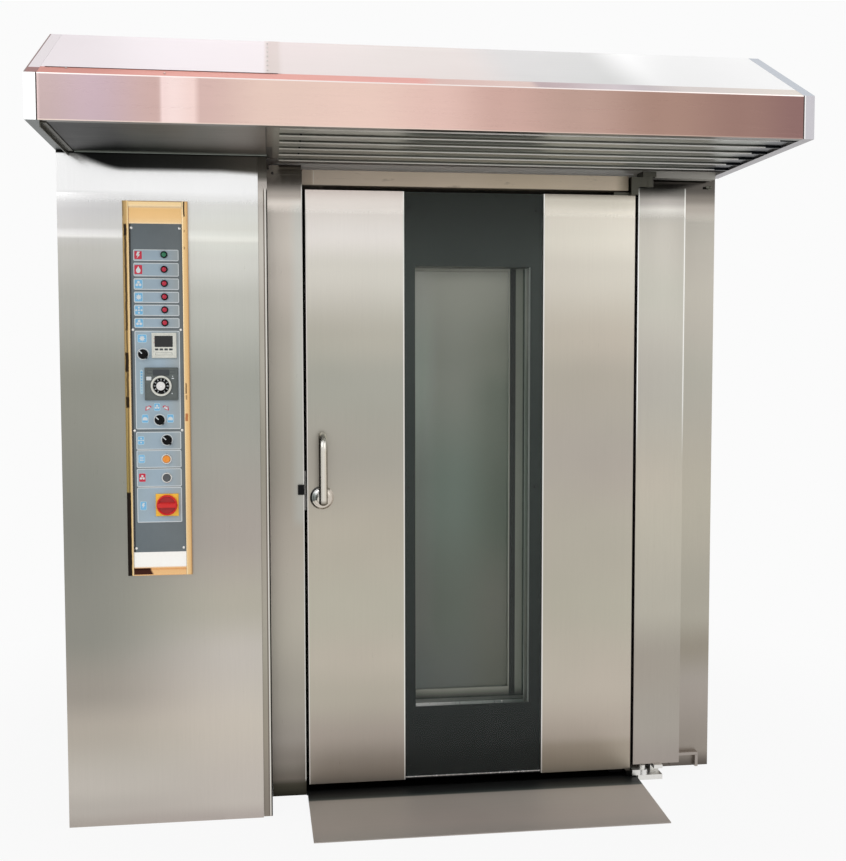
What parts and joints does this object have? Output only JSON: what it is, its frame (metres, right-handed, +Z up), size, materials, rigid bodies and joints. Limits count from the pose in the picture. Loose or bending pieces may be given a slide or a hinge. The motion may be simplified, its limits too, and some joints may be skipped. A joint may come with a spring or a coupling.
{
  "type": "rotating rack oven",
  "caption": "Free-standing bakery oven with a control cabinet, a glazed swing door with a turning handle, a steam hood, a ramp and a carousel that turns a rack trolley inside",
  "frame": {"origin": "on the floor, under the middle of the whole oven's footprint, hood included", "axes": "+Z up, +Y from the front into the oven, +X to the right seen from the front"},
  "size_m": [2.1548, 2.086, 2.6],
  "materials": {
    "stainless_steel": "vertical brush grain, satin, with soft smears",
    "door_steel": "vertical brush grain, satin",
    "handle_steel": "fine satin polish",
    "dark_steel": "dull, dark, in the shade",
    "rose_steel": "long horizontal brush grain, rose tint",
    "pale_steel": "pale satin sheet",
    "ramp_steel": "worn and scuffed",
    "brass_trim": "polished",
    "slate_paint": "matt slate grey",
    "outer_glass": "clear pane with a dark enamelled border",
    "inner_glass": "clear",
    "gasket_rubber": "matt",
    "white_plastic": "semi gloss",
    "black_plastic": "fine grain",
    "orange_plastic": "translucent, smooth",
    "yellow_plastic": "smooth",
    "red_plastic": "smooth",
    "green_plastic": "translucent, smooth",
    "printed_white": "printed",
    "printed_blue": "printed",
    "machine_paint": "semi gloss enamel",
    "cast_iron": "rough",
    "fastener_steel": "bright"
  },
  "bodies": {
    "oven": {"baffle_grille": "stainless_steel", "burner": "machine_paint", "cabinet_floor": "dark_steel", "cabinet_front_panel": "stainless_steel", "cabinet_left_panel": "stainless_steel", "cabinet_partition": "stainless_steel", "control_plate": "slate_paint", "cover_stile": "stainless_steel", "door_header": "stainless_steel", "exhaust_collar": "pale_steel", "fan_motor": "machine_paint", "gear_motor": "machine_paint", "gold_trim_frame": "brass_trim", "heat_exchanger": "cast_iron", "hood_back_plate": "pale_steel", "hood_fascia": "rose_steel", "hood_left_end": "pale_steel", "hood_right_end": "pale_steel", "hood_roof_left": "pale_steel", "hood_roof_right": "pale_steel", "hood_soffit": "dark_steel", "left_stile": "stainless_steel", "main_switch_plate": "yellow_plastic", "oven_base": "dark_steel", "rear_wall": "stainless_steel", "return_air_panel": "stainless_steel", "right_front_post": "stainless_steel", "right_wall": "stainless_steel", "roof_slab": "stainless_steel", "steam_generator": "cast_iron", "strike_block": "black_plastic", "supply_air_panel": "stainless_steel", "temperature_controller": "white_plastic", "threshold_ramp": "ramp_steel", "timer_body": "black_plastic", "upper_hinge_pin": "dark_steel"},
    "door": {"door_left_leaf": "door_steel", "door_right_leaf": "door_steel", "door_outer_glass": "outer_glass", "door_inner_glass": "inner_glass", "door_window_frame": "dark_steel", "door_gasket": "gasket_rubber", "door_upper_arm": "dark_steel", "door_lower_arm": "dark_steel", "handle_rosette": "handle_steel"},
    "handle": {"door_handle": "handle_steel"},
    "latch": {"latch_bolt": "dark_steel"},
    "carousel": {"turntable": "stainless_steel", "carrier_beam": "stainless_steel", "carrier_upright_left": "stainless_steel", "carrier_upright_right": "stainless_steel"},
    "fan": {"fan_impeller": "stainless_steel"},
    "timer_knob": {"timer_dial": "black_plastic"},
    "upper_selector": {"selector_knob_upper": "black_plastic"},
    "middle_selector": {"selector_knob_middle": "black_plastic"},
    "lower_selector": {"selector_knob_lower": "black_plastic"},
    "start": {"start_button": "orange_plastic"},
    "stop": {"stop_button": "black_plastic"},
    "main_switch": {"main_switch_knob": "red_plastic"}
  },
  "joints": [
    {"name": "door_swing", "type": "hinge", "parent": "oven", "child": "door", "pos_m": [0.7944, -0.442, 1], "axis": [0, 0, 1], "range_deg": [0, 120]},
    {"name": "handle_turn", "type": "hinge", "parent": "door", "child": "handle", "pos_m": [-0.2916, -0.44, 0.986], "axis": [0, 1, 0], "range_deg": [0, 90]},
    {"name": "latch_slide", "type": "slide", "parent": "door", "child": "latch", "axis": [-1, 0, 0], "range_m": [0, 0.015]},
    {"name": "carousel_spin", "type": "hinge", "parent": "oven", "child": "carousel", "pos_m": [0.2084, 0.333, 2], "axis": [0, 0, 1], "continuous": true},
    {"name": "fan_spin", "type": "hinge", "parent": "oven", "child": "fan", "pos_m": [-0.7719, 0.113, 2], "axis": [0, 0, 1], "continuous": true},
    {"name": "timer_turn", "type": "hinge", "parent": "oven", "child": "timer_knob", "pos_m": [-0.7804, -0.613, 1.354], "axis": [0, 1, 0], "range_deg": [0, 300]},
    {"name": "selector_upper_turn", "type": "hinge", "parent": "oven", "child": "upper_selector", "pos_m": [-0.8334, -0.613, 1.45], "axis": [0, 1, 0], "range_deg": [0, 90]},
    {"name": "selector_middle_turn", "type": "hinge", "parent": "oven", "child": "middle_selector", "pos_m": [-0.7874, -0.613, 1.251], "axis": [0, 1, 0], "range_deg": [0, 90]},
    {"name": "selector_lower_turn", "type": "hinge", "parent": "oven", "child": "lower_selector", "pos_m": [-0.7664, -0.613, 1.19], "axis": [0, 1, 0], "range_deg": [0, 90]},
    {"name": "start_press", "type": "slide", "parent": "oven", "child": "start", "axis": [0, 1, 0], "range_m": [0, 0.004], "stiffness_N_per_m": 800},
    {"name": "stop_press", "type": "slide", "parent": "oven", "child": "stop", "axis": [0, 1, 0], "range_m": [0, 0.004], "stiffness_N_per_m": 800},
    {"name": "main_switch_turn", "type": "hinge", "parent": "oven", "child": "main_switch", "pos_m": [-0.7684, -0.613, 0.992], "axis": [0, 1, 0], "range_deg": [0, 90]}
  ],
  "couplings": [
    {"joint": "latch_slide", "follows": "handle_turn", "m_per_rad": 0.009545}
  ]
}
